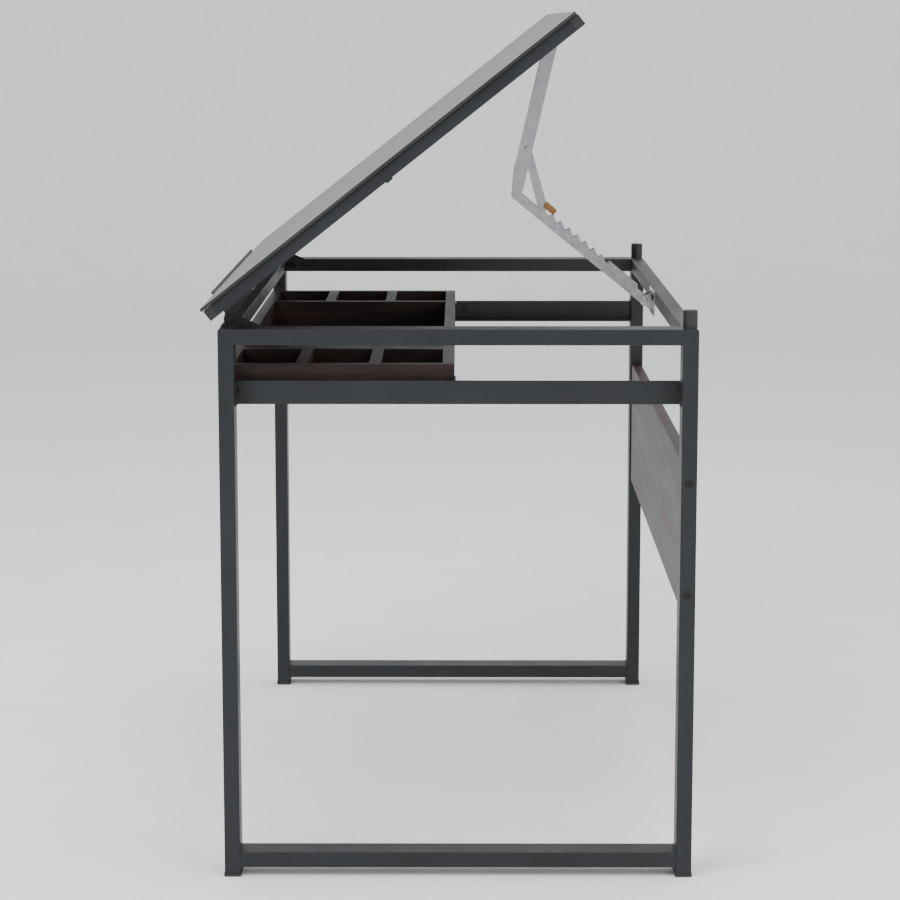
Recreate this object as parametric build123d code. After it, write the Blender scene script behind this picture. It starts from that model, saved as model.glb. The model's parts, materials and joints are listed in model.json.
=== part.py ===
from build123d import *
from math import atan2, cos, degrees, radians, sin, sqrt
import os

# Drafting table in mm. +X is the right end, +Y the rear and +Z up.
# Every size below is given from the front faces of the legs (Y = 0),
# the centre (X = 0) and the floor (Z = 0).

# End frames: closed rectangles of 40 x 20 tube with mitred top corners.
END_X = 520.0
DEPTH = 600.0
HEIGHT = 708.0
TUBE_W = 40.0
TUBE_T = 20.0
WALL = 1.5
TUBE_EDGE_R = 1.2
CORNER_R = 3.0
INNER_X = END_X - TUBE_W
BOTTOM_RAIL_Z = 12.5
GLIDE_H = 4.0
GLIDE_PROUD = 1.0
GLIDE_PLUG = 8.0

# Cross rails and the tabs that bolt them to the legs.
TAB_T = 3.0
TAB_Z = 650.0
TAB_BOLT_Z = 668.0

# Angle rails that carry the tray.
TRAY_RAIL_X = 487.0
TRAY_RAIL_T = 2.0
TRAY_RAIL_Z = 609.5
TRAY_RAIL_H = 30.0
TRAY_FLANGE = 30.0
TRAY_TAB = 20.0

# Wooden tray: three cells at each end and one long bay between them.
TRAY_X = 470.0
TRAY_Y = 295.0
TRAY_TOP = 658.0
PLY = 15.0
TRAY_FLOOR_T = 6.0
CELL_X = 145.0
CELLS = 3
BRACKET_T = 2.0
BRACKET_L = 25.0

# Rear panel and its bolts.
PANEL_Y = 582.5
PANEL_Z = 347.0
PANEL_H = 190.0
PANEL_BOLT_INSET = 23.5
PANEL_BOLT_L = 65.0

# Rubber bumpers on the rear corners, which carry the board when it lies flat.
BUMPER_R = 9.0
BUMPER_H = 23.0
BUMPER_X = 505.0
BUMPER_Y = 590.0

# Board: tilts about the hinge axis along X. u runs up the slope and v square to it.
HINGE_Y = 13.0
HINGE_Z = 717.0
TILT = 38.25
BOARD_X = 528.0
BOARD_U0 = -16.5
BOARD_U1 = 573.0
BOARD_V = 30.0
BOARD_T = 4.0
BAND_T = 1.0
RAIL_X0 = 493.0
RAIL_X1 = 523.0
RAIL_U0 = -15.0
RAIL_U1 = 574.0
RAIL_V = 14.0
RAIL_H = 15.0
CAP_L = 12.0
CROSS_BAR_U = {"lower": 0.0, "middle": 272.5, "upper": 559.0}
LEDGE_X = 331.0
LEDGE_T = 2.0
LEDGE_TOP = 38.0
LEDGE_FLANGE = 15.5
LEDGE_SCREW_X = (-280.0, -95.0, 95.0, 280.0)
RAIL_STUD_U = 267.0

# Hinges.
HINGE_PLATE = 2.5
HINGE_GAP = 0.5
HINGE_EAR_R = 8.0
HINGE_SCREW_Y = (32.0, 50.0)
HINGE_SCREW_Z = 699.0
HINGE_SCREW_R = 2.0
HINGE_SCREW_L = 8.0
PIN_R = 3.0
RUNNING = 0.05

# Ratchet support on the centre line: two equal arms, an elbow, a toothed rack and a pawl.
TOP_U = 553.6
TOP_V = 17.5
BASE_Y = 567.0
BASE_Z = 691.5
ARM = 238.0
SHEET = 1.5
UPPER_X = 17.0
UPPER_WEB = -11.3
UPPER_LIP = 7.3
UPPER_WEB_END = 198.0
LOWER_X = 12.0
LOWER_WEB = -6.0
LOWER_LIP = 7.0
RACK_X = 10.5
RACK_WALL = 2.0
RACK_TOP = 12.0
TEETH = 7
TOOTH_PITCH = 15.2
TOOTH_START = 57.0
TOOTH_H = 5.4
TOOTH_SLOPE = 9.0
PAWL_ON_ARM = 68.2
PAWL_TIP = 47.4
PAWL_X = 6.0
BRACKET_X = 42.0
CLIP_L = 20.0
CLIP_H = 9.0
CLIP_T = 1.2
CLIP_GAP = 0.1
CLIP_AHEAD = 11.8
CLIP_UP = 16.0


def tilted(u, v):
    """Place (Y, Z) of a point on the board's side view at its resting tilt."""
    a = radians(TILT)
    return (HINGE_Y + u * cos(a) - v * sin(a), HINGE_Z + u * sin(a) + v * cos(a))


def elbow(top, base):
    """Front meeting point of two equal arms from the top pivot and the base pivot."""
    dy = base[0] - top[0]
    dz = base[1] - top[1]
    span = sqrt(dy * dy + dz * dz)
    rise = sqrt(ARM * ARM - span * span / 4)
    return ((top[0] + base[0]) / 2 + dz / span * rise, (top[1] + base[1]) / 2 - dy / span * rise)


def heading(a, b):
    """Angle in degrees, seen with +Y right and +Z up, of the line from a to b."""
    return degrees(atan2(b[1] - a[1], b[0] - a[0]))


TOP = tilted(TOP_U, TOP_V)
BASE = (BASE_Y, BASE_Z)
ELBOW = elbow(TOP, BASE)
UPPER_ANGLE = heading(TOP, ELBOW)
LOWER_ANGLE = heading(ELBOW, BASE)

# The row's origin is the floor point under the middle of the whole object.
Y_MIN = tilted(BOARD_U0 - LEDGE_T, LEDGE_TOP)[0]
Y_MAX = DEPTH + GLIDE_PROUD
SHIFT = Vector(0, -(Y_MIN + Y_MAX) / 2, 0)

parts = {}


def add(name, *solids):
    """Add solids to a node; those of a group stay separate."""
    parts.setdefault(name, []).extend(solids)


def block(x, y, z):
    """Box between two limits along each axis."""
    size = [abs(b - a) for a, b in (x, y, z)]
    return Pos((x[0] + x[1]) / 2, (y[0] + y[1]) / 2, (z[0] + z[1]) / 2) * Box(*size)


def side_plane(origin, angle, x=0.0):
    """Plane seen from the right end: its x runs at the angle, its normal is +X."""
    a = radians(angle)
    return Plane(origin=(x, origin[0], origin[1]), x_dir=(0, cos(a), sin(a)), z_dir=(1, 0, 0))


def side_prism(origin, angle, sketch, x0, x1):
    """Sketch in a side plane, extruded from x0 to x1."""
    return extrude(side_plane(origin, angle, x0) * sketch, amount=x1 - x0, dir=(1, 0, 0))


def polygon(*points):
    return Polygon(*points, align=None)


def disc(x, y, r):
    return Pos(x, y) * Circle(r)


def tube(x, y, z, axis, wall=WALL, edge_r=TUBE_EDGE_R):
    """Rectangular steel tube, open at both ends, along the given axis."""
    outer = block(x, y, z)
    outer = fillet(outer.edges().filter_by(axis), edge_r)
    limits = [(a + wall, b - wall) for a, b in (x, y, z)]
    along = {Axis.X: 0, Axis.Y: 1, Axis.Z: 2}[axis]
    limits[along] = ((x, y, z)[along][0] - 1, (x, y, z)[along][1] + 1)
    return outer - block(*limits)


def rod(start, direction, r, length):
    """Cylinder from a point along a direction."""
    upright = Cylinder(r, length, align=(Align.CENTER, Align.CENTER, Align.MIN))
    return Plane(origin=start, z_dir=direction) * upright


def screw(face, inward, head_r, head_h, shank_r, shank_l):
    """Button screw with a hexagon socket; its head stands on face and its shank goes inward."""
    out = Vector(*inward) * -1
    head = rod(face, out, head_r, head_h)
    head = fillet(head.faces().sort_by(Axis(face, out)).last.edges(), head_h * 0.45)
    key = RegularPolygon(head_r * 0.5, 6, major_radius=False)
    top = Vector(*face) + out * head_h
    socket = extrude(Plane(origin=top, z_dir=inward) * key, amount=head_h * 0.6)
    return head + rod(face, inward, shank_r, shank_l) - socket


def drill(names, start, direction, r, length):
    """Bore the same hole through the named nodes."""
    for name in names:
        parts[name] = [solid - rod(start, direction, r, length) for solid in parts[name]]


def fasten(group, names, face, inward, head_r, head_h, shank_r, shank_l):
    """Add a screw to a group and its clearance hole to the pieces that it holds."""
    drill(names, face, inward, shank_r + RUNNING, shank_l + 0.5)
    add(group, screw(face, inward, head_r, head_h, shank_r, shank_l))


def end_frame(side, s):
    """Legs, top rail and bottom rail of one end, with glides and bumper."""
    x = (s * INNER_X, s * END_X) if s > 0 else (s * END_X, s * INNER_X)
    front = tube(x, (0, TUBE_T), (GLIDE_H, HEIGHT), Axis.Z)
    rear = tube(x, (DEPTH - TUBE_T, DEPTH), (GLIDE_H, HEIGHT), Axis.Z)
    top = tube(x, (0, DEPTH), (HEIGHT - TUBE_T, HEIGHT), Axis.Y)
    for y in HINGE_SCREW_Y:
        top -= rod((s * INNER_X, y, HINGE_SCREW_Z), (s, 0, 0), HINGE_SCREW_R + RUNNING, HINGE_SCREW_L)
    below = HEIGHT - TUBE_T
    mitres = [(0, HEIGHT), (TUBE_T, below), (DEPTH - TUBE_T, below), (DEPTH, HEIGHT)]
    inside = polygon((DEPTH, -1), (0, -1), *mitres)
    above = polygon(*mitres)
    outline = Pos(DEPTH / 2, HEIGHT / 2) * RectangleRounded(DEPTH, HEIGHT, CORNER_R)
    legs_zone = side_prism((0, 0), 0, inside, x[0], x[1])
    rail_zone = side_prism((0, 0), 0, above, x[0], x[1])
    rounded = side_prism((0, 0), 0, outline, x[0], x[1])
    add(f"{side}_front_leg", front & legs_zone & rounded)
    add(f"{side}_rear_leg", rear & legs_zone & rounded)
    add(f"{side}_top_rail", top & rail_zone & rounded)
    z = (BOTTOM_RAIL_Z, BOTTOM_RAIL_Z + TUBE_T)
    add(f"{side}_bottom_rail", tube(x, (TUBE_T, DEPTH - TUBE_T), z, Axis.Y))
    for y in (0, DEPTH - TUBE_T):
        add("foot_glides", glide(x, (y, y + TUBE_T)))
    bumper(side, s)


def glide(x, y):
    """Plastic glide: a foot a little wider than the tube, and a plug up inside it."""
    wide_x = (x[0] - GLIDE_PROUD, x[1] + GLIDE_PROUD)
    wide_y = (y[0] - GLIDE_PROUD, y[1] + GLIDE_PROUD)
    foot = block(wide_x, wide_y, (0, GLIDE_H))
    foot = fillet(foot.edges().filter_by(Axis.Z), 2)
    foot = chamfer(foot.faces().sort_by(Axis.Z).first.edges(), 0.8)
    inset = WALL + 0.1
    plug = block((x[0] + inset, x[1] - inset), (y[0] + inset, y[1] - inset), (GLIDE_H, GLIDE_H + GLIDE_PLUG))
    return foot + plug


def bumper(side, s):
    """Rubber post with a stud through the top rail's upper wall."""
    post = rod((s * BUMPER_X, BUMPER_Y, HEIGHT), (0, 0, 1), BUMPER_R, BUMPER_H)
    post = fillet(post.faces().sort_by(Axis.Z).last.edges(), 1.5)
    stud = rod((s * BUMPER_X, BUMPER_Y, HEIGHT), (0, 0, -1), PIN_R, 5)
    drill([f"{side}_top_rail"], (s * BUMPER_X, BUMPER_Y, HEIGHT), (0, 0, -1), PIN_R + RUNNING, 5)
    add("rear_bumpers", post + stud)


def cross_rail(name, y0):
    """Square tube between the end frames, with a tab down each leg."""
    y = (y0, y0 + TUBE_T)
    body = tube((-INNER_X + TAB_T, INNER_X - TAB_T), y, (HEIGHT - TUBE_T, HEIGHT), Axis.X)
    for s in (-1, 1):
        x = sorted((s * (INNER_X - TAB_T), s * INNER_X))
        body += block(x, (y0 + 0.5, y0 + TUBE_T - 0.5), (TAB_Z, HEIGHT - 0.5))
    add(name, body)
    end = "front" if y0 == 0 else "rear"
    for side, s in (("right", 1), ("left", -1)):
        face = (s * (INNER_X - TAB_T), y0 + TUBE_T / 2, TAB_BOLT_Z)
        fasten("cross_rail_bolts", [name, f"{side}_{end}_leg"], face, (s, 0, 0), 5.5, 3, 3, 14)


def tray_rail(side, s):
    """Angle rail between the legs of one end, with a tab and a screw at each leg."""
    outer = s * TRAY_RAIL_X
    inner = s * (TRAY_RAIL_X - TRAY_RAIL_T)
    y = (TUBE_T, DEPTH - TUBE_T)
    z = (TRAY_RAIL_Z, TRAY_RAIL_Z + TRAY_RAIL_H)
    rail = block(sorted((inner, outer)), y, z)
    rail += block(sorted((inner - s * TRAY_FLANGE, outer)), y, (z[0], z[0] + TRAY_RAIL_T))
    for y0, y1 in ((TUBE_T, TUBE_T + TRAY_RAIL_T), (DEPTH - TUBE_T - TRAY_RAIL_T, DEPTH - TUBE_T)):
        rail += block(sorted((outer, outer + s * TRAY_TAB)), (y0, y1), z)
    name = f"tray_rail_{side}"
    add(name, rail)
    x = outer + s * TRAY_TAB * 0.55
    middle = TRAY_RAIL_Z + TRAY_RAIL_H / 2
    front = (x, TUBE_T + TRAY_RAIL_T, middle)
    rear = (x, DEPTH - TUBE_T - TRAY_RAIL_T, middle)
    fasten("tray_rail_screws", [name, f"{side}_front_leg"], front, (0, -1, 0), 4.5, 2.4, 2.4, 12)
    fasten("tray_rail_screws", [name, f"{side}_rear_leg"], rear, (0, 1, 0), 4.5, 2.4, 2.4, 12)


def tray():
    """Tray walls, floor, partitions and dividers."""
    z = (TRAY_RAIL_Z + TRAY_RAIL_T, TRAY_TOP)
    inner = TRAY_X - PLY
    add("tray_front", block((-inner, inner), (0, PLY), z))
    add("tray_back", block((-inner, inner), (TRAY_Y - PLY, TRAY_Y), z))
    add("tray_floor", block((-inner, inner), (PLY, TRAY_Y - PLY), (z[0], z[0] + TRAY_FLOOR_T)))
    above = (z[0] + TRAY_FLOOR_T, TRAY_TOP)
    wall = inner - CELL_X
    cell = (TRAY_Y - (CELLS + 1) * PLY) / CELLS
    for side, s in (("right", 1), ("left", -1)):
        add(f"tray_{side}_wall", block(sorted((s * inner, s * TRAY_X)), (0, TRAY_Y), z))
        x = sorted((s * wall, s * (wall - PLY)))
        add(f"tray_{side}_partition", block(x, (PLY, TRAY_Y - PLY), above))
        for i in range(1, CELLS):
            y = i * (cell + PLY)
            add(f"tray_{side}_dividers", block(sorted((s * wall, s * inner)), (y, y + PLY), above))
        tray_bracket(side, s)


def tray_bracket(side, s):
    """Angle that ties the tray's back wall to its rail."""
    z = (TRAY_RAIL_Z + 5, TRAY_RAIL_Z + TRAY_RAIL_H)
    rail_face = TRAY_RAIL_X - TRAY_RAIL_T
    plate = block(sorted((s * (TRAY_X - 30), s * rail_face)), (TRAY_Y, TRAY_Y + BRACKET_T), z)
    plate += block(sorted((s * (rail_face - BRACKET_T), s * rail_face)), (TRAY_Y, TRAY_Y + BRACKET_L), z)
    name = "tray_brackets"
    add(name, plate)
    middle = (z[0] + z[1]) / 2
    face = (s * (rail_face - BRACKET_T), TRAY_Y + 17, middle)
    grip = BRACKET_T + TRAY_RAIL_T
    fasten("tray_screws", [name, f"tray_rail_{side}"], face, (s, 0, 0), 4.5, 2.4, 2.4, grip)
    face = (s * (TRAY_X - 20), TRAY_Y + BRACKET_T, middle)
    fasten("tray_screws", [name, "tray_back"], face, (0, -1, 0), 4, 2.2, 2, 12)


def rear_panel():
    """Wooden panel between the rear legs, bolted from outside through both legs."""
    z = (PANEL_Z, PANEL_Z + PANEL_H)
    add("rear_panel", block((-INNER_X, INNER_X), (PANEL_Y, PANEL_Y + PLY), z))
    for side, s in (("right", 1), ("left", -1)):
        for height in (z[0] + PANEL_BOLT_INSET, z[1] - PANEL_BOLT_INSET):
            face = (s * END_X, PANEL_Y + PLY / 2, height)
            names = [f"{side}_rear_leg", "rear_panel"]
            fasten("rear_panel_bolts", names, face, (-s, 0, 0), 5, 1.6, 3, PANEL_BOLT_L)


def board_box(x, u, v):
    """Box in the board's own directions."""
    sketch = polygon((u[0], v[0]), (u[1], v[0]), (u[1], v[1]), (u[0], v[1]))
    return side_prism((HINGE_Y, HINGE_Z), TILT, sketch, x[0], x[1])


def board_tube(x, u, v, along_x):
    """Rectangular tube in the board's own directions."""
    outer = board_box(x, u, v)
    if along_x:
        return outer - board_box((x[0] - 1, x[1] + 1), (u[0] + WALL, u[1] - WALL), (v[0] + WALL, v[1] - WALL))
    return outer - board_box((x[0] + WALL, x[1] - WALL), (u[0] - 1, u[1] + 1), (v[0] + WALL, v[1] - WALL))


def board_point(x, u, v):
    return (x, *tilted(u, v))


def board():
    """Top, edge band, rails, cross bars, pads and pencil ledge."""
    a = radians(TILT)
    normal = Vector(0, -sin(a), cos(a))
    v = (BOARD_V, BOARD_V + BOARD_T)
    inner_x = BOARD_X - BAND_T
    panel = board_box((-inner_x, inner_x), (BOARD_U0 + BAND_T, BOARD_U1 - BAND_T), v)
    add("board_top", panel)
    for s in (-1, 1):
        add("board_edge_band", board_box(sorted((s * inner_x, s * BOARD_X)), (BOARD_U0, BOARD_U1), v))
    for u in ((BOARD_U0, BOARD_U0 + BAND_T), (BOARD_U1 - BAND_T, BOARD_U1)):
        add("board_edge_band", board_box((-inner_x, inner_x), u, v))
    rail_v = (RAIL_V, RAIL_V + RAIL_H)
    pad_v = (RAIL_V + RAIL_H, BOARD_V)
    for side, s in (("right", 1), ("left", -1)):
        x = sorted((s * RAIL_X0, s * RAIL_X1))
        name = f"board_rail_{side}"
        add(name, board_tube(x, (RAIL_U0 + CAP_L, RAIL_U1 - CAP_L), rail_v, False))
        end_cap(x, RAIL_U0, RAIL_U0 + CAP_L, 1)
        end_cap(x, RAIL_U1, RAIL_U1 - CAP_L, -1)
        add("board_pads", board_box((x[0] + 3, x[1] - 3), (RAIL_U0 + CAP_L, RAIL_U1 - CAP_L), pad_v))
        face = board_point((x[0] + x[1]) / 2, RAIL_STUD_U, RAIL_V)
        fasten("board_rail_screws", [name], face, normal, 5, 2.6, 2.5, 12)
    for place, u in CROSS_BAR_U.items():
        add(f"board_{place}_bar", board_tube((-RAIL_X0, RAIL_X0), (u, u + RAIL_H), rail_v, True))
        add("board_pads", board_box((-RAIL_X0 + 5, RAIL_X0 - 5), (u + 2, u + RAIL_H - 2), pad_v))
    pencil_ledge(normal)


def end_cap(x, u_out, u_in, step):
    """Plastic cap that closes a board rail, with a plug inside the tube."""
    v = (RAIL_V, RAIL_V + RAIL_H)
    cap = board_box(x, sorted((u_out, u_in)), v)
    inset = WALL + 0.1
    plug_v = (v[0] + inset, v[1] - inset)
    cap += board_box((x[0] + inset, x[1] - inset), sorted((u_in, u_in + step * 10)), plug_v)
    add("board_end_caps", cap)


def pencil_ledge(normal):
    """Angle along the board's lower edge; its lip stops what slides down."""
    u = (BOARD_U0 - LEDGE_T, BOARD_U0)
    x = (-LEDGE_X, LEDGE_X)
    low = BOARD_V - LEDGE_T
    ledge = board_box(x, u, (low, LEDGE_TOP)) + board_box(x, (u[1], u[1] + LEDGE_FLANGE), (low, BOARD_V))
    add("pencil_ledge", ledge)
    for place in LEDGE_SCREW_X:
        face = board_point(place, BOARD_U0 + LEDGE_FLANGE / 2, low)
        fasten("ledge_screws", ["pencil_ledge", "board_top"], face, normal, 3.6, 2, 1.8, 5)


def hinge(side, s):
    """Base plate on the top rail, leaf under the board's rail, and the pin through both."""
    base_x = sorted((s * (INNER_X - HINGE_PLATE), s * INNER_X))
    y0 = TUBE_T + HINGE_GAP
    low = HINGE_Z - HINGE_EAR_R
    foot = HEIGHT - TUBE_T + 2
    shoulder = (HINGE_Y + 3.5, HINGE_Z + 7.2)
    plate = polygon((HINGE_Y, low), (y0, low), (y0, foot), (63, foot), (63, 703), shoulder)
    base = side_prism((0, 0), 0, plate + disc(HINGE_Y, HINGE_Z, HINGE_EAR_R), base_x[0], base_x[1])
    add(f"hinge_base_{side}", base)
    leaf_in = INNER_X + HINGE_GAP
    leaf_x = sorted((s * leaf_in, s * (leaf_in + HINGE_PLATE)))
    web = polygon((-4, 0), (8, 0), (50, 11.5), (50, RAIL_V), (3, RAIL_V), (-6, 4)) + disc(0, 0, HINGE_EAR_R)
    leaf = side_prism((HINGE_Y, HINGE_Z), TILT, web, leaf_x[0], leaf_x[1])
    flange_x = sorted((s * leaf_in, s * (RAIL_X1 - 3)))
    leaf += board_box(flange_x, (5, 50), (RAIL_V - HINGE_PLATE, RAIL_V))
    add(f"hinge_leaf_{side}", leaf)
    centre = (s * (INNER_X - HINGE_PLATE), HINGE_Y, HINGE_Z)
    reach = 2 * HINGE_PLATE + 2 * HINGE_GAP
    drill([f"hinge_base_{side}"], centre, (s, 0, 0), PIN_R, reach)
    drill([f"hinge_leaf_{side}"], centre, (s, 0, 0), PIN_R + RUNNING, reach)
    pin = rod(centre, (s, 0, 0), PIN_R, reach) + rod(centre, (-s, 0, 0), PIN_R + 2, 2)
    end = (s * (INNER_X - HINGE_PLATE + reach), HINGE_Y, HINGE_Z)
    add("hinge_pins", pin + rod(end, (s, 0, 0), PIN_R + 2, 2))
    for y in HINGE_SCREW_Y:
        face = (s * (INNER_X - HINGE_PLATE), y, HINGE_SCREW_Z)
        fasten("hinge_screws", [f"hinge_base_{side}"], face, (s, 0, 0), 4, 2.2, HINGE_SCREW_R, HINGE_SCREW_L)
    a = radians(TILT)
    for u in (22, 40):
        face = board_point(s * (RAIL_X0 + RAIL_X1) / 2, u, RAIL_V - HINGE_PLATE)
        names = [f"hinge_leaf_{side}", f"board_rail_{side}"]
        fasten("leaf_screws", names, face, (0, -sin(a), cos(a)), 4, 2.2, 2, 8)


def rivet(point, r, half, head_r, head_h):
    """Pin along X through a point, with a head at each end."""
    pin = rod((-half, *point), (1, 0, 0), r, 2 * half)
    for s in (-1, 1):
        head = rod((s * half, *point), (s, 0, 0), head_r, head_h)
        pin += fillet(head.faces().sort_by(Axis((0, 0, 0), (s, 0, 0))).last.edges(), head_h * 0.5)
    return pin


def base_bracket():
    """Plate on the rear cross rail with two ears that hold the lower arm's pin."""
    face_y = DEPTH - TUBE_T
    ear_in = LOWER_X + 0.5
    ear_out = ear_in + 2
    z = (672, HEIGHT - 1)
    plate = block((-BRACKET_X, BRACKET_X), (face_y - 2, face_y), z)
    ear = polygon((face_y - 1, z[0] + 4), (face_y - 1, z[1] - 2), (BASE_Y, BASE_Z + 7), (BASE_Y, BASE_Z - 7))
    ear += disc(BASE_Y, BASE_Z, 7)
    for s in (-1, 1):
        x = sorted((s * ear_in, s * ear_out))
        plate += side_prism((0, 0), 0, ear, x[0], x[1])
    add("base_bracket", plate)
    drill(["base_bracket"], (-20, *BASE), (1, 0, 0), PIN_R, 40)
    add("base_pin", rivet(BASE, PIN_R, ear_out, 4.5, 2))
    for s in (-1, 1):
        face = (s * 30, face_y - 2, HEIGHT - TUBE_T / 2)
        fasten("base_bracket_screws", ["base_bracket", "rear_cross_rail"], face, (0, 1, 0), 4.5, 2.4, 2.5, 12)


def top_bracket():
    """Bracket under the board's upper bar with two ears for the upper arm's pin."""
    ear_in = UPPER_X + 0.6
    ear_out = ear_in + 2
    u0 = CROSS_BAR_U["upper"]
    u1 = u0 + RAIL_H
    low = RAIL_V - 2.5
    body = board_box((-ear_out, ear_out), (u0 + 0.4, u1), (low, RAIL_V))
    clear = u0 - 0.4
    ear = polygon((546, low), (u1, low), (u1, RAIL_V), (clear, RAIL_V), (clear, 23), (550, 24), (546, 20))
    for s in (-1, 1):
        x = sorted((s * ear_in, s * ear_out))
        body += side_prism((HINGE_Y, HINGE_Z), TILT, ear, x[0], x[1])
    add("top_bracket", body)
    drill(["top_bracket"], (-25, *TOP), (1, 0, 0), PIN_R, 50)
    add("top_pin", rivet(TOP, PIN_R, ear_out, 4, 2))


def channel_flanges(origin, angle, outline, outer_x, bore):
    """The two side walls of a folded channel arm."""
    walls = []
    for s in (-1, 1):
        x = sorted((s * (outer_x - SHEET), s * outer_x))
        walls.append(side_prism(origin, angle, outline - bore, x[0], x[1]))
    return walls


def upper_arm():
    """Folded channel from the board's bracket to the elbow; its web stops short of the lower arm."""
    outline = polygon((0, -5), (4, UPPER_WEB), (ARM - 34, UPPER_WEB), (ARM, -6.5), (ARM, 6.5),
                      (ARM - 14, UPPER_LIP), (8, UPPER_LIP), (0, 5))
    outline += disc(0, 0, 5) + disc(ARM, 0, 6.5)
    bore = disc(0, 0, PIN_R + RUNNING)
    bore += disc(ARM, 0, PIN_R)
    bore += disc(ARM - PAWL_ON_ARM, 0, PIN_R)
    arm = channel_flanges(TOP, UPPER_ANGLE, outline, UPPER_X, bore)
    thick = UPPER_WEB + SHEET
    web = polygon((4, UPPER_WEB), (UPPER_WEB_END, UPPER_WEB), (UPPER_WEB_END, thick), (4, thick))
    arm = arm[0] + arm[1] + side_prism(TOP, UPPER_ANGLE, web, -UPPER_X, UPPER_X)
    add("upper_arm", arm)
    for s in (-1, 1):
        start = s * (LOWER_X + 0.6)
        stub = rod((start, *ELBOW), (s, 0, 0), PIN_R, UPPER_X - LOWER_X - 0.6)
        add("elbow_rivets", stub + rod((s * UPPER_X, *ELBOW), (s, 0, 0), 4, 2))
    add("pawl_pin", rivet(pawl_pivot(), PIN_R, UPPER_X, 4, 2))


def pawl_pivot():
    a = radians(UPPER_ANGLE)
    reach = ARM - PAWL_ON_ARM
    return (TOP[0] + reach * cos(a), TOP[1] + reach * sin(a))


def lower_arm():
    """Folded channel from the elbow to the base bracket, lined with the toothed rack."""
    end = ARM + 5
    outline = polygon((0, LOWER_WEB), (ARM, LOWER_WEB), (end, -2), (end, 3), (ARM, LOWER_LIP), (0, LOWER_LIP))
    outline += disc(0, 0, 6)
    outline += disc(ARM, 0, 6)
    bore = disc(ARM, 0, PIN_R + RUNNING) + disc(0, 0, PIN_R)
    arm = channel_flanges(ELBOW, LOWER_ANGLE, outline, LOWER_X, bore)
    web = polygon((0, LOWER_WEB), (ARM, LOWER_WEB), (ARM, LOWER_WEB + SHEET), (0, LOWER_WEB + SHEET))
    add("lower_arm", arm[0] + arm[1] + side_prism(ELBOW, LOWER_ANGLE, web, -LOWER_X, LOWER_X))
    add("rack", rack())


def rack():
    """Nested channel whose two upper edges carry the ratchet's teeth."""
    low = LOWER_WEB + SHEET
    root = RACK_TOP - TOOTH_H
    points = [(16, low), (16, root - 5), (24, root)]
    for i in range(TEETH):
        c = TOOTH_START + i * TOOTH_PITCH
        points += [(c, root), (c + 1, RACK_TOP), (c + 3.5, RACK_TOP), (c + 3.5 + TOOTH_SLOPE, root)]
    last = TOOTH_START + TEETH * TOOTH_PITCH
    points += [(last, root), (last + 1, RACK_TOP), (ARM - 22, RACK_TOP), (ARM - 12, low)]
    body = side_prism(ELBOW, LOWER_ANGLE, polygon(*points), -RACK_X, RACK_X)
    hollow = polygon((0, low + SHEET), (ARM, low + SHEET), (ARM, RACK_TOP + 9), (0, RACK_TOP + 9))
    return body - side_prism(ELBOW, LOWER_ANGLE, hollow, -RACK_X + RACK_WALL, RACK_X - RACK_WALL)


def pawl_tip():
    """Where the pawl's nose rests, between the first tooth and the elbow."""
    a = radians(LOWER_ANGLE)
    along = PAWL_TIP
    up = RACK_TOP - TOOTH_H
    return (ELBOW[0] + along * cos(a) - up * sin(a), ELBOW[1] + along * sin(a) + up * cos(a))


def pawl():
    """Tapered pawl on the upper arm, with a bronze clip on its nose."""
    pivot = pawl_pivot()
    tip = pawl_tip()
    angle = heading(pivot, tip)
    length = sqrt((tip[0] - pivot[0]) ** 2 + (tip[1] - pivot[1]) ** 2)
    nose = [(length - 14, -7.5), (length - 3, -5), (length, 0), (length - 6, 6)]
    outline = polygon((0, -5.5), *nose, (0, 5.5))
    outline += disc(0, 0, 5.5)
    outline -= disc(0, 0, PIN_R + RUNNING)
    add("pawl", side_prism(pivot, angle, outline, -PAWL_X, PAWL_X))
    pawl_clip()


def pawl_clip():
    """Spring clip astride the pawl's nose: two cheeks joined by a strip ahead of it."""
    front = PAWL_TIP + CLIP_AHEAD
    cheek = Pos(front - CLIP_L / 2, CLIP_UP) * RectangleRounded(CLIP_L, CLIP_H, 2)
    strip = Pos(front - CLIP_T / 2, CLIP_UP) * Rectangle(CLIP_T, CLIP_H - 4)
    inside = PAWL_X + CLIP_GAP
    clip = side_prism(ELBOW, LOWER_ANGLE, strip, -inside - CLIP_T, inside + CLIP_T)
    for s in (-1, 1):
        x = sorted((s * inside, s * (inside + CLIP_T)))
        clip += side_prism(ELBOW, LOWER_ANGLE, cheek, x[0], x[1])
    add("pawl_clip", clip)


for side, s in (("right", 1), ("left", -1)):
    end_frame(side, s)
cross_rail("front_cross_rail", 0)
cross_rail("rear_cross_rail", DEPTH - TUBE_T)
for side, s in (("right", 1), ("left", -1)):
    tray_rail(side, s)
tray()
rear_panel()
board()
for side, s in (("right", 1), ("left", -1)):
    hinge(side, s)
base_bracket()
top_bracket()
upper_arm()
lower_arm()
pawl()

os.makedirs("parts", exist_ok=True)
for name, solids in parts.items():
    pieces = [piece for solid in solids for piece in solid.solids()]
    shape = pieces[0] if len(pieces) == 1 else Compound(children=pieces)
    export_step(shape.moved(Location(SHIFT)), f"parts/{name}.step")
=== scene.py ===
import json
from math import cos, radians, sin

import bpy
from mathutils import Matrix, Vector


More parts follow.
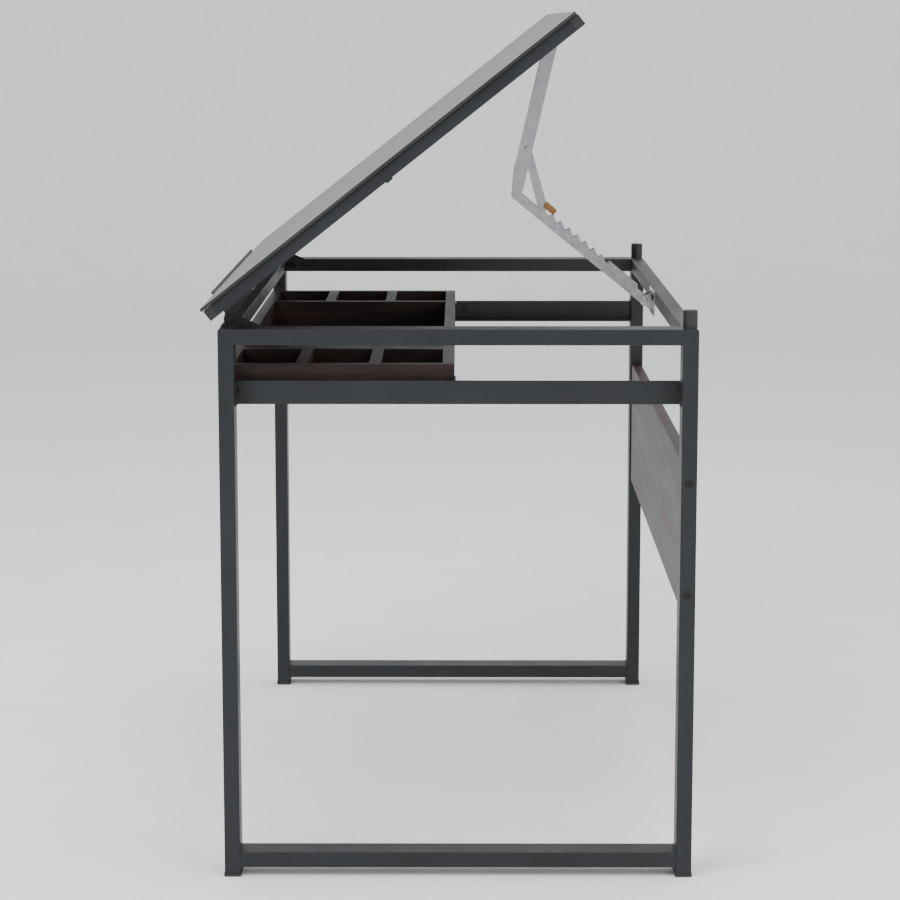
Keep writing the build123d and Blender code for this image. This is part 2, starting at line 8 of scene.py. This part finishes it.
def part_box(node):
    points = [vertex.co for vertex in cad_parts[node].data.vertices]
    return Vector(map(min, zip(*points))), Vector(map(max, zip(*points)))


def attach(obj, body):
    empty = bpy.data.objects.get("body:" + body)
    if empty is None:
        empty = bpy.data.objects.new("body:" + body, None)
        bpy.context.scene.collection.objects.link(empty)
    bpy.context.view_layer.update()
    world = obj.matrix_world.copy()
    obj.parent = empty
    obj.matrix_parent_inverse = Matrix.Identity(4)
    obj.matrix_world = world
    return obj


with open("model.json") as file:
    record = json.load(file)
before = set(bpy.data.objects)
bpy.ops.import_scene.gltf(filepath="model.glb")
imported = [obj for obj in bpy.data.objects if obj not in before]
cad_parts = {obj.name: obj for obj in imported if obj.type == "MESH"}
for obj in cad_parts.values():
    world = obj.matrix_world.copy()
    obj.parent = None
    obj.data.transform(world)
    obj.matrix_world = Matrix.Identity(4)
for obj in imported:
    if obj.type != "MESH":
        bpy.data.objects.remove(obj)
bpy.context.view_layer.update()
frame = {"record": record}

# Camera, fitted to the frame: metres and degrees in the frame's own axes.
CAMERA_AT = (3.779, 0.0126, 1.0824)
CAMERA_PITCH = 9.17
CAMERA_YAW = 0.19
CAMERA_LENS = 105.4

# Eased edges on the sharp-edged CAD nodes, in metres by material slot.
EDGE_BEVEL = {"walnut": 0.0010, "brown_panel": 0.0008, "black_plastic": 0.0008}
BEVEL_SEGMENTS = 3
BEVEL_ANGLE = radians(40)

# Weld beads: radii, spacing and depth of their ripples, and how far a bead stops short of a corner.
STEEL_BEAD = 0.0007
MITRE_BEAD = 0.0003
RIPPLE_STEP = 0.002
RIPPLE_DEPTH = 0.25
RIPPLE_TURN = 3.1
MITRE_STOP = 0.001
BEAD_STOP = 0.002

# Floor: how far it runs each way along X, its half width, and the curve up to the backdrop.
FLOOR_FRONT = 9.0
FLOOR_BACK = -6.0
FLOOR_HALF_WIDTH = 9.0
CURVE_RADIUS = 1.5
CURVE_STEPS = 24
BACKDROP_TOP = 8.0

# Wood: how fast the grain changes across and along a piece, and which pieces run along Y.
GRAIN_ACROSS = 16.0
GRAIN_ALONG = 1.6
GRAIN_ALONG_Y = ("wall", "partition")
WALNUT = ((0.009, 0.0045, 0.0040), (0.018, 0.0085, 0.0072), (0.034, 0.0165, 0.0130))
PANEL = ((0.012, 0.005, 0.004), (0.024, 0.010, 0.007), (0.048, 0.020, 0.013))

# The middle stretch of a noise that carries nearly all of its change.
NOISE_LOW = 0.3
NOISE_HIGH = 0.7


def shader(name):
    """New material and the handles that each recipe needs."""
    mat = bpy.data.materials.new(name)
    mat.use_nodes = True
    nodes = mat.node_tree.nodes
    return mat, nodes, mat.node_tree.links, nodes["Principled BSDF"]


def coordinates(nodes, links, stretch):
    """Object coordinates scaled along each axis."""
    source = nodes.new("ShaderNodeTexCoord")
    mapping = nodes.new("ShaderNodeMapping")
    mapping.inputs["Scale"].default_value = stretch
    links.new(source.outputs["Object"], mapping.inputs["Vector"])
    return mapping.outputs["Vector"]


def noise(nodes, links, vector, scale, detail, distortion=0.0):
    """Noise from 0 to 1 at a scale per metre."""
    node = nodes.new("ShaderNodeTexNoise")
    node.inputs["Scale"].default_value = scale
    node.inputs["Detail"].default_value = detail
    node.inputs["Distortion"].default_value = distortion
    links.new(vector, node.inputs["Vector"])
    return node.outputs["Fac"]


def ramp(nodes, links, factor, stops):
    """Colour ramp through (place, colour) stops."""
    node = nodes.new("ShaderNodeValToRGB")
    elements = node.color_ramp.elements
    while len(elements) < len(stops):
        elements.new(0.5)
    for element, (place, colour) in zip(elements, stops):
        element.position = place
        element.color = (*colour, 1.0)
    links.new(factor, node.inputs["Fac"])
    return node.outputs["Color"]


def spread(nodes, links, factor, low, high):
    """Map a 0 to 1 factor on to a range."""
    node = nodes.new("ShaderNodeMapRange")
    node.inputs["From Min"].default_value = NOISE_LOW
    node.inputs["From Max"].default_value = NOISE_HIGH
    node.inputs["To Min"].default_value = low
    node.inputs["To Max"].default_value = high
    links.new(factor, node.inputs["Value"])
    return node.outputs["Result"]


def bump(nodes, links, bsdf, height, strength, distance):
    """Surface relief from a height, up to a distance in metres."""
    node = nodes.new("ShaderNodeBump")
    node.inputs["Strength"].default_value = strength
    node.inputs["Distance"].default_value = distance
    links.new(height, node.inputs["Height"])
    links.new(node.outputs["Normal"], bsdf.inputs["Normal"])


def mottled(name, dark, light, rough, grain, depth, metallic=0.0, specular=0.5, cloud=9.0):
    """Moulded, coated or plated finish: slow colour drift, uneven gloss and a fine surface grain."""
    mat, nodes, links, bsdf = shader(name)
    vector = coordinates(nodes, links, (1.0, 1.0, 1.0))
    slow = noise(nodes, links, vector, cloud, 3.0)
    fine = noise(nodes, links, vector, grain, 2.0)
    colour = ramp(nodes, links, slow, ((NOISE_LOW, dark), (NOISE_HIGH, light)))
    links.new(colour, bsdf.inputs["Base Color"])
    links.new(spread(nodes, links, slow, rough[0], rough[1]), bsdf.inputs["Roughness"])
    bsdf.inputs["Metallic"].default_value = metallic
    bsdf.inputs["Specular IOR Level"].default_value = specular
    bump(nodes, links, bsdf, fine, depth, 0.0004)
    return mat


def timber(name, shades, along, rough):
    """Dark veneer in three shades: long streaks and pores that run along one axis."""
    mat, nodes, links, bsdf = shader(name)
    dark, middle, light = shades
    stretch = [GRAIN_ACROSS] * 3
    stretch[along] = GRAIN_ALONG
    bsdf.inputs["Specular IOR Level"].default_value = 0.25
    vector = coordinates(nodes, links, stretch)
    broad = noise(nodes, links, vector, 2.2, 6.0, 0.6)
    colour = ramp(nodes, links, broad, ((0.34, dark), (0.5, middle), (0.66, light)))
    pores = noise(nodes, links, vector, 26.0, 3.0)
    dots = ramp(nodes, links, pores, ((0.38, (0.55, 0.55, 0.55)), (0.5, (1.0, 1.0, 1.0))))
    mix = nodes.new("ShaderNodeMix")
    mix.data_type = "RGBA"
    mix.blend_type = "MULTIPLY"
    mix.inputs["Factor"].default_value = 0.7
    links.new(colour, mix.inputs["A"])
    links.new(dots, mix.inputs["B"])
    links.new(mix.outputs["Result"], bsdf.inputs["Base Color"])
    links.new(spread(nodes, links, broad, rough[0], rough[1]), bsdf.inputs["Roughness"])
    bump(nodes, links, bsdf, pores, 0.25, 0.0003)
    return mat


def steel():
    """Dark powder coat with a fine orange peel."""
    dark, light = (0.0100, 0.0114, 0.0130), (0.0138, 0.0156, 0.0176)
    return mottled("charcoal_powder_coat", dark, light, (0.40, 0.50), 1500, 0.22, specular=0.3)


def zinc():
    """Bright plating with faint patches."""
    dark, light = (0.38, 0.39, 0.40), (0.45, 0.46, 0.47)
    return mottled("zinc_plate", dark, light, (0.22, 0.30), 900, 0.06, 1.0, cloud=90.0)


def laminate():
    """Mid grey board top, matte."""
    dark, light = (0.128, 0.118, 0.122), (0.140, 0.130, 0.134)
    return mottled("grey_laminate", dark, light, (0.48, 0.58), 900, 0.12)


def bronze():
    """Warm spring metal of the pawl's clip."""
    dark, light = (0.22, 0.11, 0.04), (0.36, 0.20, 0.08)
    return mottled("bronze_spring", dark, light, (0.26, 0.38), 500, 0.12, 1.0, cloud=80.0)


def grey(level):
    return (level, level, level)


MATERIALS = {
    "charcoal_steel": steel(),
    "walnut": timber("walnut_x", WALNUT, 0, (0.38, 0.5)),
    "walnut_y": timber("walnut_y", WALNUT, 1, (0.38, 0.5)),
    "brown_panel": timber("panel_veneer", PANEL, 0, (0.4, 0.5)),
    "grey_board": laminate(),
    "black_edge": mottled("edge_band", grey(0.008), grey(0.014), (0.35, 0.45), 800, 0.1),
    "black_plastic": mottled("moulded_plastic", grey(0.007), grey(0.013), (0.4, 0.5), 1100, 0.25),
    "black_rubber": mottled("rubber", grey(0.006), grey(0.011), (0.6, 0.72), 600, 0.3),
    "zinc": zinc(),
    "bronze": bronze(),
    "dark_fastener": mottled("black_oxide", grey(0.016), grey(0.03), (0.3, 0.42), 700, 0.12, 0.8),
}


def dress(node, slot):
    """Give a CAD node its material and ease its sharp edges."""
    obj = bpy.data.objects[node]
    kind = "walnut_y" if slot == "walnut" and node.endswith(GRAIN_ALONG_Y) else slot
    obj.data.materials.clear()
    obj.data.materials.append(MATERIALS[kind])
    if slot in EDGE_BEVEL:
        ease = obj.modifiers.new("eased_edges", "BEVEL")
        ease.width = EDGE_BEVEL[slot]
        ease.segments = BEVEL_SEGMENTS
        ease.limit_method = "ANGLE"
        ease.angle_limit = BEVEL_ANGLE


for part in frame["record"]["subparts"]:
    dress(part["node"], part["material_slot"])


def floor():
    """Pale floor that curves up into a backdrop behind the far end."""
    profile = [(FLOOR_FRONT, 0.0), (FLOOR_BACK, 0.0)]
    for i in range(1, CURVE_STEPS + 1):
        a = radians(90 * i / CURVE_STEPS)
        profile.append((FLOOR_BACK - CURVE_RADIUS * sin(a), CURVE_RADIUS * (1 - cos(a))))
    profile.append((FLOOR_BACK - CURVE_RADIUS, BACKDROP_TOP))
    verts = []
    for x, z in profile:
        verts += [(x, -FLOOR_HALF_WIDTH, z), (x, FLOOR_HALF_WIDTH, z)]
    faces = [(2 * i, 2 * i + 1, 2 * i + 3, 2 * i + 2) for i in range(len(profile) - 1)]
    mesh = bpy.data.meshes.new("floor")
    mesh.from_pydata(verts, [], faces)
    for face in mesh.polygons:
        face.use_smooth = True
    obj = bpy.data.objects.new("floor", mesh)
    bpy.context.scene.collection.objects.link(obj)
    obj.data.materials.append(mottled("pale_floor", grey(0.86), grey(0.89), (0.6, 0.7), 60, 0.02))


def area_light(name, place, target, size, watts):
    """Rectangular lamp at a place, aimed at a target."""
    data = bpy.data.lights.new(name, "AREA")
    data.shape = "RECTANGLE"
    data.size = size[0]
    data.size_y = size[1]
    data.energy = watts
    obj = bpy.data.objects.new(name, data)
    aim = (Vector(target) - Vector(place)).to_track_quat("-Z", "Y")
    obj.matrix_world = Matrix.Translation(place) @ aim.to_matrix().to_4x4()
    bpy.context.scene.collection.objects.link(obj)


def lights():
    """Soft studio light from above and both sides, over a pale surround."""
    area_light("key", (2.4, -1.8, 3.0), (0, 0, 0.7), (2.4, 2.4), 120)
    area_light("fill", (2.6, 2.4, 1.6), (0, 0, 0.6), (2.0, 2.0), 50)
    area_light("top", (-0.3, 0.2, 3.4), (0, 0, 0.6), (2.6, 2.6), 70)
    world = bpy.data.worlds.new("surround")
    world.use_nodes = True
    sky = world.node_tree.nodes["Background"]
    sky.inputs["Color"].default_value = (0.95, 0.97, 1.0, 1.0)
    sky.inputs["Strength"].default_value = 1.0
    bpy.context.scene.world = world


def camera():
    """Camera at the viewing angle above."""
    data = bpy.data.cameras.new("camera")
    data.lens = CAMERA_LENS
    data.sensor_width = 36.0
    obj = bpy.data.objects.new("camera", data)
    pitch = radians(CAMERA_PITCH)
    yaw = radians(CAMERA_YAW)
    look = Vector((-cos(pitch) * cos(yaw), -cos(pitch) * sin(yaw), -sin(pitch)))
    aim = look.to_track_quat("-Z", "Y")
    obj.matrix_world = Matrix.Translation(CAMERA_AT) @ aim.to_matrix().to_4x4()
    bpy.context.scene.collection.objects.link(obj)
    bpy.context.scene.camera = obj


def bead(name, runs, radius, body):
    """Weld beads as small rippled ridges along straight runs."""
    curve = bpy.data.curves.new(name, "CURVE")
    curve.dimensions = "3D"
    curve.bevel_depth = radius
    curve.bevel_resolution = 2
    for a, b in runs:
        a = Vector(a)
        b = Vector(b)
        count = max(4, round((b - a).length / RIPPLE_STEP))
        spline = curve.splines.new("POLY")
        spline.points.add(count)
        for i, point in enumerate(spline.points):
            point.co = (*a.lerp(b, i / count), 1.0)
            point.radius = 1.0 + RIPPLE_DEPTH * cos(RIPPLE_TURN * i)
    obj = bpy.data.objects.new(name, curve)
    bpy.context.scene.collection.objects.link(obj)
    curve.materials.append(MATERIALS["charcoal_steel"])
    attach(obj, body)


def welds():
    """Mitre seams at the top corners and beads where the bottom rails meet the legs."""
    for side in ("right", "left"):
        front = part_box(f"{side}_front_leg")
        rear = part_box(f"{side}_rear_leg")
        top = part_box(f"{side}_top_rail")
        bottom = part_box(f"{side}_bottom_rail")
        seams = []
        beads = []
        for x in (top[0][0], top[1][0]):
            for leg, outer, inner, step in ((front, 0, 1, MITRE_STOP), (rear, 1, 0, -MITRE_STOP)):
                low = (x, leg[inner][1], top[0][2])
                seams.append((low, (x, leg[outer][1] + step, top[1][2] - MITRE_STOP)))
        for y in (bottom[0][1], bottom[1][1]):
            for z in (bottom[0][2], bottom[1][2]):
                beads.append(((bottom[0][0] + BEAD_STOP, y, z), (bottom[1][0] - BEAD_STOP, y, z)))
            for x in (bottom[0][0], bottom[1][0]):
                beads.append(((x, y, bottom[0][2] + MITRE_STOP), (x, y, bottom[1][2] - MITRE_STOP)))
        bead(f"{side}_mitre_seams", seams, MITRE_BEAD, "table")
        bead(f"{side}_weld_beads", beads, STEEL_BEAD, "table")


welds()
floor()
lights()
camera()
